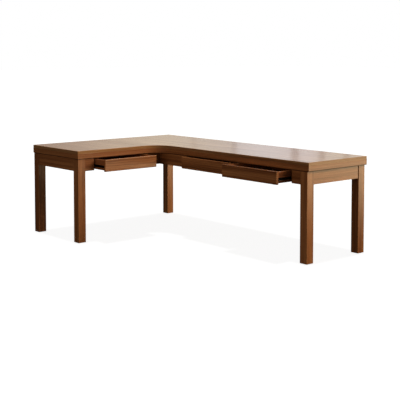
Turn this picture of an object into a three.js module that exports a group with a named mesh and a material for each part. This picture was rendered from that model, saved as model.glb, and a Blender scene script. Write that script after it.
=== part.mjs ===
// Corner desk: an L-shaped desk with a thick-edged top, five square legs and three slide-out drawers.
//
// Millimetres, +Z up. The origin is on the floor, under the middle of the desk's outline.
// +X runs along the long wing, away from the return. +Y points to the wall behind the long wing.
// The return comes forward, to -Y, at the -X end. The drawers rest partly open, each by its own amount.
import * as THREE from "three";

// Overall sizes.
const LENGTH = 2454; // long wing, end to end
const RETURN_LENGTH = 1512; // return, from the wall side of the long wing to its free end
const HEIGHT = 762;
const LONG_DEPTH = 664; // depth of the long wing
const RETURN_WIDTH = 701; // width of the return
const CORNER_RADIUS = 180; // concave curve of the top at the sitter's corner

// Top: boards on an edge frame that makes the edge look thick.
const TOP_EDGE = 68; // height of the whole edge
const BOARD = 25; // thickness of the top boards
const STRIP_WIDTH = 80; // width of the edge strips under the boards

// Legs and aprons.
const LEG = 71; // side of the square leg
const LEG_ARRIS = 2.5; // flat planed on the leg's long corners
const LEG_SETBACK = 5; // from the top's edge to the leg's face
const LEG_SETBACK_RIGHT = 17; // the same at the right end, where the top overhangs more
const APRON = 20; // thickness of aprons and stiles
const APRON_HEIGHT = 102.6;
const APRON_SETBACK = 5; // from the leg's face to the apron's face
const LONG_FACE_SETBACK = 8; // from the top's edge to the face of the long wing's inner apron
const GLIDE_RADIUS = 22;
const GLIDE_HEIGHT = 3;
const CORNER_BLOCK = 45; // side of the glue block behind the inner corner

// Drawers, all of one height and depth.
const OPENING_MARGIN = 91; // width of the stile between a leg and a drawer opening
const OPEN = { left: 63, right: 154, return: 154 }; // how far each drawer stands open
const FRONT = 20; // thickness of a drawer front
const FRONT_HEIGHT = 98.6;
const FRONT_GAP = 4; // around a drawer front
const WIDE_FRONT = 601; // drawers of the long wing
const NARROW_FRONT = 527; // drawer of the return
const BOX_LENGTH = 500;
const BOX_HEIGHT = 85.5;
const BOX_DROP = 9; // from the front's bottom edge up to the box's bottom edge
const BOX_WALL = 12;
const BOX_BACK_HEIGHT = 70;
const BOTTOM = 6; // thickness of a drawer bottom
const BOTTOM_RISE = 6; // from the box's bottom edge up to the drawer bottom
const GROOVE = 6; // depth of the groove that holds the drawer bottom
const SLIDE_GAP = 13; // between a drawer box and the panel that its slide is screwed to
const PANEL = 19; // thickness of the panels that carry the slides
const PANEL_RISE = 5; // from the aprons' bottom edge up to the panels' bottom edge

// Slides: an outer member on the desk and an inner member on the drawer.
const SLIDE_LENGTH = 500;
const SLIDE_RISE = 30.5; // from the box's bottom edge up to the slide's middle
const OUTER_HEIGHT = 27;
const OUTER_DEPTH = 9.5;
const INNER_HEIGHT = 20;
const INNER_DEPTH = 9;
const SLIDE_SHEET = 1.2;

const GAP = 0.3; // left between pieces that touch
const EASE = 0.5; // flat planed on the edges of the top's boards and strips

// Derived places.
const LEFT = -LENGTH / 2;
const RIGHT = LENGTH / 2;
const BACK = RETURN_LENGTH / 2;
const END = -RETURN_LENGTH / 2; // free end of the return
const INNER_X = LEFT + RETURN_WIDTH; // sitter's edge of the return
const INNER_Y = BACK - LONG_DEPTH; // sitter's edge of the long wing
const SEAM_Y = INNER_Y - CORNER_RADIUS; // seam between the top's two boards
const TOP_UNDERSIDE = HEIGHT - TOP_EDGE;
const BOARD_UNDERSIDE = HEIGHT - BOARD;
const APRON_TOP = TOP_UNDERSIDE - GAP;
const APRON_BOTTOM = TOP_UNDERSIDE - APRON_HEIGHT;
const FACE_SETBACK = LEG_SETBACK + APRON_SETBACK; // from the top's edge to an apron's face
const FACE_X = INNER_X - FACE_SETBACK; // face of the return's inner apron
const FACE_Y = INNER_Y + LONG_FACE_SETBACK; // face of the long wing's inner apron
const BOX_BOTTOM = APRON_BOTTOM + BOX_DROP;
const SLIDE_MIDDLE = BOX_BOTTOM + SLIDE_RISE;
const LEG_RIGHT_X = RIGHT - LEG_SETBACK_RIGHT - LEG / 2; // middle of the right-hand legs
const LONG_OPENING_RIGHT = LEG_RIGHT_X - LEG / 2 - OPENING_MARGIN;
const LONG_OPENING_LEFT = LONG_OPENING_RIGHT - 2 * WIDE_FRONT - 3 * FRONT_GAP;
const LEG_END_Y = END + LEG_SETBACK + LEG / 2; // middle of the legs at the return's free end
const RETURN_OPENING_NEAR = LEG_END_Y + LEG / 2 + OPENING_MARGIN;
const RETURN_OPENING_FAR = RETURN_OPENING_NEAR + NARROW_FRONT + 2 * FRONT_GAP;
const DIVIDER_X = (LONG_OPENING_LEFT + LONG_OPENING_RIGHT) / 2;

const finish = (color, roughness, metalness = 0) =>
  new THREE.MeshStandardMaterial({ color, roughness, metalness });
const topWood = () => finish(0xa97f58, 0.38);
const frameWood = () => finish(0x7a4e31, 0.5);
const innerWood = () => finish(0x8c6a4b, 0.7);
const boxWood = () => finish(0x5a3522, 0.55);
const plywood = () => finish(0xb08d66, 0.7);
const blackSteel = () => finish(0x16171a, 0.4, 0.8);
const nylon = () => finish(0x2a2725, 0.6);

const desk = new THREE.Group();

function addPiece(name, geometry, material, parent = desk) {
  const mesh = new THREE.Mesh(geometry, material);
  mesh.name = name;
  parent.add(mesh);
  return mesh;
}

// A plain board between two corners.
function addBoard(name, low, high, material, parent = desk) {
  const size = high.map((value, i) => value - low[i]);
  const board = addPiece(name, new THREE.BoxGeometry(...size), material, parent);
  board.position.set(...high.map((value, i) => (value + low[i]) / 2));
}

// A flat piece with eased edges, its outline seen from above. It is half the gap smaller all round.
function addSlab(name, outline, bottom, top, material) {
  const geometry = new THREE.ExtrudeGeometry(outline, {
    depth: top - bottom - 2 * EASE,
    curveSegments: 24,
    bevelThickness: EASE,
    bevelSize: EASE,
    bevelOffset: -EASE - GAP / 2,
    bevelSegments: 1,
  });
  addPiece(name, geometry, material).position.z = bottom + EASE;
}

const outlineOf = (points) => new THREE.Shape(points.map(([x, y]) => new THREE.Vector2(x, y)));

// A bar with the given section: section x runs across the bar, section y is up, and the bar runs along +Y.
function barGeometry(points, length) {
  const bar = new THREE.ExtrudeGeometry(outlineOf(points), { depth: length, bevelEnabled: false });
  return bar.rotateX(Math.PI / 2).translate(0, length, 0);
}

// ---- Top ----

// Adds the concave curve to an outline, from one quarter-turn angle to the other.
function drawCurve(shape, from, to) {
  const x = INNER_X + CORNER_RADIUS;
  const y = INNER_Y - CORNER_RADIUS;
  shape.absarc(x, y, CORNER_RADIUS, from, to, from > to);
}

// The long board carries the curve, and the return's board meets it in a straight seam where the curve ends.
function longBoardOutline() {
  const shape = new THREE.Shape();
  shape.moveTo(RIGHT, INNER_Y);
  shape.lineTo(RIGHT, BACK);
  shape.lineTo(LEFT, BACK);
  shape.lineTo(LEFT, SEAM_Y);
  drawCurve(shape, Math.PI, Math.PI / 2);
  return shape;
}

function curveBlockOutline() {
  const shape = new THREE.Shape();
  shape.moveTo(INNER_X + CORNER_RADIUS, INNER_Y + STRIP_WIDTH);
  drawCurve(shape, Math.PI / 2, Math.PI);
  shape.lineTo(INNER_X - STRIP_WIDTH, INNER_Y - CORNER_RADIUS);
  shape.lineTo(INNER_X - STRIP_WIDTH, INNER_Y + STRIP_WIDTH);
  return shape;
}

// Corners of the top's outline, each with the inner corner that the edge strips have there.
function stripCorners() {
  const w = STRIP_WIDTH;
  const curveX = INNER_X + CORNER_RADIUS;
  return {
    wallLeft: [[LEFT, BACK], [LEFT + w, BACK - w]],
    wallRight: [[RIGHT, BACK], [RIGHT - w, BACK - w]],
    sitterRight: [[RIGHT, INNER_Y], [RIGHT - w, INNER_Y + w]],
    curveLong: [[curveX, INNER_Y], [curveX, INNER_Y + w]],
    curveReturn: [[INNER_X, SEAM_Y], [INNER_X - w, SEAM_Y]],
    endInner: [[INNER_X, END], [INNER_X - w, END + w]],
    endWall: [[LEFT, END], [LEFT + w, END + w]],
  };
}

// An edge strip under the boards, mitred where it turns a square corner.
function addStrip(name, from, to) {
  const outline = outlineOf([from[0], to[0], to[1], from[1]]);
  addSlab(name, outline, TOP_UNDERSIDE, BOARD_UNDERSIDE - GAP, frameWood());
}

function addTop() {
  const returnBoard = outlineOf([[LEFT, END], [INNER_X, END], [INNER_X, SEAM_Y], [LEFT, SEAM_Y]]);
  addSlab("top_board_long", longBoardOutline(), BOARD_UNDERSIDE, HEIGHT, topWood());
  addSlab("top_board_return", returnBoard, BOARD_UNDERSIDE, HEIGHT, topWood());

  const corner = stripCorners();
  addStrip("edge_strip_back", corner.wallRight, corner.wallLeft);
  addStrip("edge_strip_left", corner.wallLeft, corner.endWall);
  addStrip("edge_strip_end", corner.endWall, corner.endInner);
  addStrip("edge_strip_return", corner.endInner, corner.curveReturn);
  addStrip("edge_strip_long", corner.curveLong, corner.sitterRight);
  addStrip("edge_strip_right", corner.sitterRight, corner.wallRight);
  addSlab("edge_block_curve", curveBlockOutline(), TOP_UNDERSIDE, BOARD_UNDERSIDE - GAP, frameWood());
}

// ---- Legs ----

function legGeometry() {
  const half = LEG / 2;
  const cut = half - LEG_ARRIS;
  const section = [
    [cut, -half], [half, -cut], [half, cut], [cut, half],
    [-cut, half], [-half, cut], [-half, -cut], [-cut, -half],
  ];
  const length = APRON_TOP - GLIDE_HEIGHT - GAP;
  return new THREE.ExtrudeGeometry(outlineOf(section), { depth: length, bevelEnabled: false });
}

function addLeg(place, x, y) {
  addPiece(`leg_${place}`, legGeometry(), frameWood()).position.set(x, y, GLIDE_HEIGHT + GAP);
  const disc = new THREE.CylinderGeometry(GLIDE_RADIUS, GLIDE_RADIUS, GLIDE_HEIGHT, 24);
  const glide = addPiece(`glide_${place}`, disc.rotateX(Math.PI / 2), nylon());
  glide.position.set(x, y, GLIDE_HEIGHT / 2);
}

function addLegs() {
  const inset = LEG_SETBACK + LEG / 2;
  addLeg("corner", LEFT + inset, BACK - inset);
  addLeg("right_back", LEG_RIGHT_X, BACK - inset);
  addLeg("right_front", LEG_RIGHT_X, INNER_Y + inset);
  addLeg("return_wall", LEFT + inset, LEG_END_Y);
  addLeg("return_inner", INNER_X - inset, LEG_END_Y);
}

// ---- Aprons ----

// An apron, stile or panel given by its plan, standing between the two heights.
function addUpright(name, x0, y0, x1, y1, material, bottom = APRON_BOTTOM, top = APRON_TOP) {
  addBoard(name, [x0, y0, bottom], [x1, y1, top], material);
}

function addAprons() {
  const legInside = LEG_SETBACK + LEG + GAP; // from the top's edge to just past a leg
  const face = FACE_SETBACK;
  const legLeft = LEG_RIGHT_X - LEG / 2 - GAP;
  const legRight = LEG_RIGHT_X + LEG / 2;
  const legInsideEnd = LEG_END_Y + LEG / 2 + GAP;
  addUpright("apron_back", LEFT + legInside, BACK - face - APRON, legLeft, BACK - face, frameWood());
  addUpright("apron_left", LEFT + face, legInsideEnd, LEFT + face + APRON, BACK - legInside, frameWood());
  addUpright("apron_end", LEFT + legInside, END + face, INNER_X - legInside, END + face + APRON, frameWood());
  const rightFace = legRight - APRON_SETBACK;
  addUpright("apron_right", rightFace - APRON, INNER_Y + legInside, rightFace, BACK - legInside, frameWood());

  // The sitter's side: an apron each way from the inner corner, then the openings, then a stile at the leg.
  addUpright("apron_long", FACE_X - APRON, FACE_Y, LONG_OPENING_LEFT, FACE_Y + APRON, frameWood());
  addUpright("apron_return", FACE_X - APRON, RETURN_OPENING_FAR, FACE_X, FACE_Y - GAP, frameWood());
  addUpright("stile_long", LONG_OPENING_RIGHT, FACE_Y, legLeft, FACE_Y + APRON, frameWood());
  addUpright("stile_return", FACE_X - APRON, legInsideEnd, FACE_X, RETURN_OPENING_NEAR, frameWood());

  const blockX = FACE_X - APRON - GAP;
  const blockY = FACE_Y - GAP;
  addUpright("corner_block", blockX - CORNER_BLOCK, blockY - CORNER_BLOCK, blockX, blockY, innerWood());
}

// The panels that carry the slides run from just behind the drawer fronts to the apron at the back.
function addSlidePanels() {
  const front = FACE_Y + FRONT + GAP;
  const back = BACK - FACE_SETBACK - APRON - GAP;
  const half = PANEL / 2;
  const bottom = APRON_BOTTOM + PANEL_RISE;
  const wood = innerWood;
  addUpright("panel_long_left", LONG_OPENING_LEFT - PANEL, front, LONG_OPENING_LEFT, back, wood(), bottom);
  addUpright("panel_long_middle", DIVIDER_X - half, front, DIVIDER_X + half, back, wood(), bottom);
  addUpright("panel_long_right", LONG_OPENING_RIGHT, front, LONG_OPENING_RIGHT + PANEL, back, wood(), bottom);
  const near = RETURN_OPENING_NEAR;
  const far = RETURN_OPENING_FAR;
  const wall = LEFT + FACE_SETBACK + APRON + GAP;
  const inner = FACE_X - FRONT - GAP;
  addUpright("panel_return_near", wall, near - PANEL, inner, near, wood(), bottom);
  addUpright("panel_return_far", wall, far, inner, far + PANEL, wood(), bottom);
}

// ---- Drawers and slides ----
// Each drawer is made in its own frame: x across, y into the desk from the closed front's face, z up.

// Section of a slide's outer member on a panel to its left: a channel that opens to +x.
function outerSection() {
  const h = OUTER_HEIGHT / 2;
  const t = SLIDE_SHEET;
  const d = OUTER_DEPTH;
  return [[0, -h], [d, -h], [d, t - h], [t, t - h], [t, h - t], [d, h - t], [d, h], [0, h]];
}

// Section of the inner member, on a box to its right: a narrower channel that opens to -x, into the outer.
function innerSection() {
  const h = INNER_HEIGHT / 2;
  const t = SLIDE_SHEET;
  const d = INNER_DEPTH;
  return [[0, -h], [0, h], [-d, h], [-d, h - t], [-t, h - t], [-t, t - h], [-d, t - h], [-d, -h]];
}

const mirrored = (points) => points.map(([x, y]) => [-x, y]);

function addSlide(name, side, x, start, section, parent) {
  const points = side < 0 ? section : mirrored(section);
  const slide = addPiece(name, barGeometry(points, SLIDE_LENGTH), blackSteel(), parent);
  slide.position.set(x, start, SLIDE_MIDDLE);
}

// A wall of the box with the groove for the bottom, its groove towards +x.
function groovedSection(thickness, height, grooveBottom) {
  const t = thickness;
  const low = grooveBottom - GAP;
  const high = grooveBottom + BOTTOM + GAP;
  const g = thickness - GROOVE;
  return [[0, 0], [t, 0], [t, low], [g, low], [g, high], [t, high], [t, height], [0, height]];
}

function addDrawer(name, frontWidth, boxWidth, boxShift, open, bay) {
  const drawer = new THREE.Group();
  drawer.position.y = -open;
  bay.add(drawer);

  const frontSection = mirrored(groovedSection(FRONT, FRONT_HEIGHT, BOX_DROP + BOTTOM_RISE));
  const frontBar = barGeometry(frontSection, frontWidth).rotateZ(-Math.PI / 2);
  addPiece(`${name}_front`, frontBar, frameWood(), drawer).position.set(-frontWidth / 2, 0, APRON_BOTTOM);

  const start = FRONT + GAP;
  const left = boxShift - boxWidth / 2;
  const right = boxShift + boxWidth / 2;
  const wall = groovedSection(BOX_WALL, BOX_HEIGHT, BOTTOM_RISE);
  const leftWall = barGeometry(wall, BOX_LENGTH);
  const rightWall = barGeometry(mirrored(wall), BOX_LENGTH);
  addPiece(`${name}_side_left`, leftWall, boxWood(), drawer).position.set(left, start, BOX_BOTTOM);
  addPiece(`${name}_side_right`, rightWall, boxWood(), drawer).position.set(right, start, BOX_BOTTOM);

  const end = start + BOX_LENGTH;
  const bottomLow = BOX_BOTTOM + BOTTOM_RISE;
  const bottomHigh = bottomLow + BOTTOM;
  const inside = BOX_WALL + GAP;
  const backLow = [left + inside, end - BOX_WALL, bottomHigh + GAP];
  const backHigh = [right - inside, end, bottomHigh + GAP + BOX_BACK_HEIGHT];
  addBoard(`${name}_back`, backLow, backHigh, boxWood(), drawer);
  const grooved = BOX_WALL - GROOVE + GAP;
  const sheetLow = [left + grooved, FRONT - GROOVE + GAP, bottomLow];
  const sheetHigh = [right - grooved, end, bottomHigh];
  addBoard(`${name}_bottom`, sheetLow, sheetHigh, plywood(), drawer);

  addSlide(`${name}_slide_left`, -1, left - GAP, start, innerSection(), drawer);
  addSlide(`${name}_slide_right`, 1, right + GAP, start, innerSection(), drawer);
}

// A drawer in its bay. shift is how far the box's middle lies to +x of the front's middle.
function addBay(name, x, y, turn, frontWidth, bayLeft, bayRight, open) {
  const bay = new THREE.Group();
  bay.position.set(x, y, 0);
  bay.rotation.z = turn;
  desk.add(bay);
  const boxWidth = bayRight - bayLeft - 2 * SLIDE_GAP;
  addDrawer(name, frontWidth, boxWidth, (bayLeft + bayRight) / 2, open, bay);
  addSlide(`${name}_runner_left`, -1, bayLeft + GAP, FRONT + 2 * GAP, outerSection(), bay);
  addSlide(`${name}_runner_right`, 1, bayRight - GAP, FRONT + 2 * GAP, outerSection(), bay);
}

function addDrawers() {
  const fromDivider = (FRONT_GAP + WIDE_FRONT) / 2; // from the divider's middle to a front's middle
  const toStile = WIDE_FRONT / 2 + FRONT_GAP; // from a front's middle to the opening's edge
  const toDivider = fromDivider - PANEL / 2; // from a front's middle to the divider's side
  const leftMiddle = DIVIDER_X - fromDivider;
  const rightMiddle = DIVIDER_X + fromDivider;
  addBay("drawer_left", leftMiddle, FACE_Y, 0, WIDE_FRONT, -toStile, toDivider, OPEN.left);
  addBay("drawer_right", rightMiddle, FACE_Y, 0, WIDE_FRONT, -toDivider, toStile, OPEN.right);
  const returnMiddle = (RETURN_OPENING_NEAR + RETURN_OPENING_FAR) / 2;
  const half = NARROW_FRONT / 2 + FRONT_GAP;
  addBay("drawer_return", FACE_X, returnMiddle, Math.PI / 2, NARROW_FRONT, -half, half, OPEN.return);
}

addTop();
addLegs();
addAprons();
addSlidePanels();
addDrawers();

export default desk;
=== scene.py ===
"""A walnut corner desk: an L-shaped top with a thick edge, five square legs and three drawers on slides."""

import bmesh
import bpy
import numpy as np
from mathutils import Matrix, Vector


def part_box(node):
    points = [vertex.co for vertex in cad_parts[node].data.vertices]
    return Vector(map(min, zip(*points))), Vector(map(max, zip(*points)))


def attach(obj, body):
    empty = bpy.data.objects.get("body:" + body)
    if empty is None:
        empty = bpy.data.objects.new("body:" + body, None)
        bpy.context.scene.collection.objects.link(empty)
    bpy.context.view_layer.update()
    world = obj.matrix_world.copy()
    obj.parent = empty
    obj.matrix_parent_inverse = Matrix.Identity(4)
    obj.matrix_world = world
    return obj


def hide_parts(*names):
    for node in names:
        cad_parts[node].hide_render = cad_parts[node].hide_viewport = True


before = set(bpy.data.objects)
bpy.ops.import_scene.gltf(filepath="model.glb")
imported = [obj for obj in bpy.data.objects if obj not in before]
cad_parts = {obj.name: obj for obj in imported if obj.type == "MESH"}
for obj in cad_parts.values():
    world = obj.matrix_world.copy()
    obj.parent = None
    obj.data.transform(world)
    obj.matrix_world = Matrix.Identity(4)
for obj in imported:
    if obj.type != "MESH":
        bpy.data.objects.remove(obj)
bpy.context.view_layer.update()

MM = 0.001
RNG = np.random.default_rng(41)

# Edges: how finely an arris and a large curve are rounded, and where rubbing and painted highlight fade.
ARRIS_STEPS = 4
CURVE_STEPS = 28
LARGE_RADIUS = 10 * MM
NEAR = 0.5 * MM
FADE = 4 * MM
FADED_WEAR_AND_HIGHLIGHT = 0.6
# The fade's outer mark takes up no more than this share of the straight part of a side.
SPARE_SHARE = 0.4
# Points closer than this are one point.
SAME_POINT = 0.001 * MM

# ---- Surfaces ----


def unit(vectors):
    """The vectors at length 1."""
    return vectors / np.linalg.norm(vectors, axis=-1, keepdims=True)


class Outline:
    """A closed outline of straight sides, each corner turned into an arc.

    With e the side's direction, n its outward normal and m = (n1 + n2) / (1 + n1.n2) the mitre, a corner p
    has the arc centre p - s r m, where s is 1 on a corner that stands out and -1 on one that goes in. Its
    points lie at centre + (s r - d) n when the whole outline is moved in by d. Two more points on each side
    of a small arc mark where its rubbing and painted highlight have faded."""

    def __init__(self, corners, radii, near=NEAR, fade=FADE):
        corners = np.asarray(corners, float)
        radii = np.broadcast_to(np.asarray(radii, float), len(corners))
        self.parts = []
        e1 = unit(corners - np.roll(corners, 1, axis=0))
        e2 = np.roll(e1, -1, axis=0)
        turns = np.arctan2(e1[:, 0] * e2[:, 1] - e1[:, 1] * e2[:, 0], (e1 * e2).sum(axis=1))
        starts = radii * abs(np.tan(turns / 2))
        lengths = np.linalg.norm(np.roll(corners, -1, axis=0) - corners, axis=1)
        after = lengths - starts - np.roll(starts, -1)
        room = SPARE_SHARE * np.minimum(after, np.roll(after, 1))
        for p, r, a, b, turn, start, spare in zip(corners, radii, e1, e2, turns, starts, room):
            n1, n2 = np.array([a[1], -a[0]]), np.array([b[1], -b[0]])
            big = r > LARGE_RADIUS
            count = CURVE_STEPS if big else ARRIS_STEPS
            angle = np.arctan2(n1[1], n1[0]) + turn * np.linspace(0, 1, count + 1)
            normal = np.stack([np.cos(angle), np.sin(angle)], axis=1)
            reach = start + (0 if big else min(fade, spare) * np.array([1, near / fade]))
            self.parts.append((p, r, np.sign(turn), turn, a, b, n1, n2, normal, reach, big))

    def at(self, inset):
        """The outline's points, moved in by the inset."""
        rows = []
        for p, r, s, turn, a, b, n1, n2, normal, reach, big in self.parts:
            mitre = (n1 + n2) / (1 + n1 @ n2)
            if s < 0 or inset < r:
                arc = p - s * r * mitre + (s * r - inset) * normal
            else:
                arc = np.repeat([p - inset * mitre], len(normal), axis=0)
            along = reach if s < 0 else np.maximum(reach, inset * abs(np.tan(turn / 2)))
            if not big:
                rows.append(p - along[:, None] * a - inset * n1)
            rows.append(arc)
            if not big:
                rows.append(p + along[::-1, None] * b - inset * n2)
        return np.concatenate(rows)

    def normals(self):
        """The outward normal at each point, and 1 where the point lies on a large curve."""
        rows, large = [], []
        for *_, n1, n2, normal, _, big in self.parts:
            rows += [normal] if big else [[n1, n1], normal, [n2, n2]]
            large += [big] * (len(normal) + (0 if big else 4))
        return np.concatenate(rows), np.array(large)

    def wear_and_highlight(self):
        """1 on a small arc, 0 on the sides and on large curves."""
        rows = []
        for *_, normal, _, big in self.parts:
            count = len(normal)
            worn_and_highlit = [0, FADED_WEAR_AND_HIGHLIGHT, *np.ones(count), FADED_WEAR_AND_HIGHLIGHT, 0]
            rows.append(np.zeros(count) if big else np.array(worn_and_highlit))
        return np.concatenate(rows)


def arris_profile(low, high, ease_low, ease_high, near, fade):
    """Insets, heights, and rubbing with painted highlight, from the lower face's flat, round its edge, up the
    wall and over the upper edge. On an edge the inset is e (1 - sin t) and the height e (1 - cos t), with t
    from 0 to a quarter turn."""
    t = np.linspace(0, np.pi / 2, ARRIS_STEPS + 1)
    inset, rise = 1 - np.sin(t), 1 - np.cos(t)
    worn_and_highlit = np.ones(len(t))

    def half(ease):
        """One edge's insets, its heights above its face, and its rubbing and painted highlight."""
        insets = [ease + fade, ease + near, *(ease * inset), 0, 0]
        rises = [0, 0, *(ease * rise), ease + near, ease + fade]
        return np.array(insets), np.array(rises), np.array([0, FADED_WEAR_AND_HIGHLIGHT, *worn_and_highlit, FADED_WEAR_AND_HIGHLIGHT, 0])

    in_low, rise_low, worn_and_highlit_low = half(ease_low)
    in_high, rise_high, worn_and_highlit_high = half(ease_high)
    insets = np.concatenate([in_low, in_high[::-1]])
    heights = np.concatenate([low + rise_low, high - rise_high[::-1]])
    return insets, heights, np.concatenate([worn_and_highlit_low, worn_and_highlit_high[::-1]])


def ring_faces(rings, around):
    """Quads between rings of points, and one face over each end."""
    i = np.arange(rings - 1)[:, None] * around
    j = np.arange(around)[None]
    k = (j + 1) % around
    quads = np.stack([i + j, i + k, i + around + k, i + around + j], axis=-1).reshape(-1, 4)
    last = np.arange((rings - 1) * around, rings * around)
    return quads.tolist() + [np.arange(around)[::-1].tolist(), last.tolist()]


# How far an outline's axes are rolled, so that a board runs along each axis.
AXIS_ROLL = {"x": 1, "y": -1, "z": 0}
# A thin board's band of rubbing and painted highlight is narrower than FADE: this share of its thinnest side.
THIN_SHARE = 0.3
FLAT = 1e-9


def board_surface(corners, low, high, along="z", ease=1.0, corner=1.2, ease_low=None):
    """A board: an outline carried from low to high along an axis, with every edge eased. The outline lies
    in the two axes that follow, such as z and x for a board that runs along y. Eases are in mm."""
    corners = np.asarray(corners, float)
    thin = min(high - low, *np.ptp(corners, axis=0))
    ease_high = ease * MM
    ease_low = ease_high if ease_low is None else ease_low * MM
    fade = min(FADE, THIN_SHARE * thin)
    near = min(NEAR, THIN_SHARE * fade)
    radii = np.asarray(corner, float) * MM
    outline = Outline(corners, radii, near, fade)
    insets, heights, worn_and_highlit = arris_profile(low, high, ease_low, ease_high, near, fade)
    flat = np.stack([outline.at(d) for d in insets])
    height = np.broadcast_to(heights[:, None, None], (*flat.shape[:2], 1))
    points = np.concatenate([flat, height], axis=2)
    on_wall = (insets < FLAT).astype(float)
    edge = np.maximum(worn_and_highlit[:, None], outline.wear_and_highlight()[None] * on_wall[:, None])
    faces = ring_faces(*flat.shape[:2])
    points = np.roll(points.reshape(-1, 3), AXIS_ROLL[along], axis=1)
    return points, faces, edge.ravel()


def rectangle(a0, a1, b0, b1):
    """The corners of a rectangle, counter-clockwise."""
    return [(a0, b0), (a1, b0), (a1, b1), (a0, b1)]


# How much rounder a box's upright edges are than its ease.
UPRIGHT_SHARE = 1.3


def box_surface(low, high, ease=1.0, corner=None):
    """A board that fills a box, with its edges eased."""
    corner = UPRIGHT_SHARE * ease if corner is None else corner
    plan = rectangle(low[0], high[0], low[1], high[1])
    return board_surface(plan, low[2], high[2], "z", ease, corner)


def quarter_turned(points):
    """Points turned a quarter turn to the left about the z axis."""
    return np.stack([-points[:, 1], points[:, 0], points[:, 2]], axis=1)


def log_place(points, grain, pith):
    """Each point's place in the log that a board was sawn from: along the grain, and across it from the
    log's heart, which lies the two pith distances from the board's middle."""
    order = {"x": (0, 1, 2), "y": (1, 0, 2), "z": (2, 1, 0)}[grain]
    middle = (points.min(axis=0) + points.max(axis=0)) / 2
    start = RNG.uniform(-4, 4)
    side = RNG.choice([-1, 1], 2)
    return (points - middle)[:, order] + np.array([start, side[0] * pith[0], side[1] * pith[1]])


def add(
    name, surface, material, body, slot, nodes=(), grain="x", pith=(0.5, 0.1), log=None, turned=False,
    pale=0.0, painted_shade=0.0,
):
    """Adds a piece. Its grain attribute is each point's place in the log, edge is how strongly it is rubbed
    and given a painted highlight, pale is how much paler or darker the board is drawn, as painted light and
    shade, and crease is how deep it lies in painted shade."""
    points, faces, edge = surface
    mesh = bpy.data.meshes.new(name)
    mesh.from_pydata(points.tolist(), [], faces)
    log = log_place(points, grain, pith) if log is None else log
    field = mesh.attributes.new("grain", "FLOAT_VECTOR", "POINT")
    field.data.foreach_set("vector", log.astype(np.float32).ravel())
    for label, value in (("edge", edge), ("pale", pale), ("painted_shade", painted_shade)):
        field = mesh.attributes.new(label, "FLOAT", "POINT")
        field.data.foreach_set("value", np.full(len(points), value, np.float32))
    if turned:
        mesh.vertices.foreach_set("co", quarter_turned(points).astype(np.float32).ravel())
    melt = bmesh.new()
    melt.from_mesh(mesh)
    bmesh.ops.remove_doubles(melt, verts=melt.verts, dist=SAME_POINT)
    melt.to_mesh(mesh)
    melt.free()
    mesh.polygons.foreach_set("use_smooth", [True] * len(mesh.polygons))
    mesh.materials.append(material)
    piece = bpy.data.objects.new(name, mesh)
    bpy.context.scene.collection.objects.link(piece)
    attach(piece, body)
    if nodes:
        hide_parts(*nodes)


# ---- Node helpers ----


class Sheet:
    """A node tree with short calls: add a node, set its values by name, and link what is a socket."""

    def __init__(self, tree):
        self.tree = tree

    def node(self, kind, out=0, settings=None, **values):
        """A node of a kind, with its inputs set by name. Gives the output that is numbered out."""
        made = self.tree.nodes.new(kind)
        for key, value in (settings or {}).items():
            setattr(made, key, value)
        for key, value in values.items():
            self.put(made.inputs[key.replace("_", " ")], value)
        return made.outputs[out]

    def put(self, socket, value):
        """Links an input to a socket, or sets it to a value."""
        if isinstance(value, bpy.types.NodeSocket):
            self.tree.links.new(value, socket)
        else:
            socket.default_value = value

    def math(self, operation, a, b=0.0):
        """An operation on one or two numbers."""
        made = self.tree.nodes.new("ShaderNodeMath")
        made.operation = operation
        for socket, value in zip(made.inputs, (a, b)):
            self.put(socket, value)
        return made.outputs[0]

    def vector(self, x, y, z):
        """A vector from three numbers."""
        return self.node("ShaderNodeCombineXYZ", X=x, Y=y, Z=z)

    def scaled(self, vector, scale):
        """A vector times a number."""
        settings = {"operation": "SCALE"}
        return self.node("ShaderNodeVectorMath", settings=settings, Vector=vector, Scale=scale)

    def attribute(self, label, out=2):
        """An attribute of the mesh, read as a number, or as a vector with out=1."""
        return self.node("ShaderNodeAttribute", out, {"attribute_name": label})

    def noise(self, vector, detail=2.0, rough=0.5):
        """Noise at a place, about 0.5 on the average."""
        return self.node("ShaderNodeTexNoise", Vector=vector, Scale=1.0, Detail=detail, Roughness=rough)

    def between(self, value, low, high, to_low=0.0, to_high=1.0):
        """A smooth step: to_low where the value is at low or less, and to_high at high or more."""
        made = self.tree.nodes.new("ShaderNodeMapRange")
        made.interpolation_type = "SMOOTHSTEP"
        labels = ("Value", "From Min", "From Max", "To Min", "To Max")
        for key, item in zip(labels, (value, low, high, to_low, to_high)):
            self.put(made.inputs[key], item)
        return made.outputs[0]

    def mix(self, factor, a, b, blend="MIX"):
        """Colour a blended toward colour b by a factor."""
        made = self.tree.nodes.new("ShaderNodeMix")
        made.data_type, made.blend_type = "RGBA", blend
        self.put(made.inputs[0], factor)
        self.put(made.inputs[6], a)
        self.put(made.inputs[7], b)
        return made.outputs[2]


def new_group(name, inputs, outputs):
    """An empty shader group with named inputs (name, kind, value) and outputs (name, kind)."""
    tree = bpy.data.node_groups.new(name, "ShaderNodeTree")
    for label, kind, value in inputs:
        socket = tree.interface.new_socket(label, in_out="INPUT", socket_type=kind)
        if value is not None:
            socket.default_value = value
    for label, kind in outputs:
        tree.interface.new_socket(label, in_out="OUTPUT", socket_type=kind)
    return tree, tree.nodes.new("NodeGroupInput"), tree.nodes.new("NodeGroupOutput")


FLOAT, VECTOR = "NodeSocketFloat", "NodeSocketVector"


# How often each noise in the wood repeats in a metre, along the grain and across it.
WANDER_SCALE = (1.3, 5.0)
UNEVEN_SCALE = (0.2, 45.0)
STREAK_SCALE = (0.55, 38.0)
FIBRE_SCALE = (9.0, 700.0)
PORE_SCALE = (110.0, 1500.0)


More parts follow.
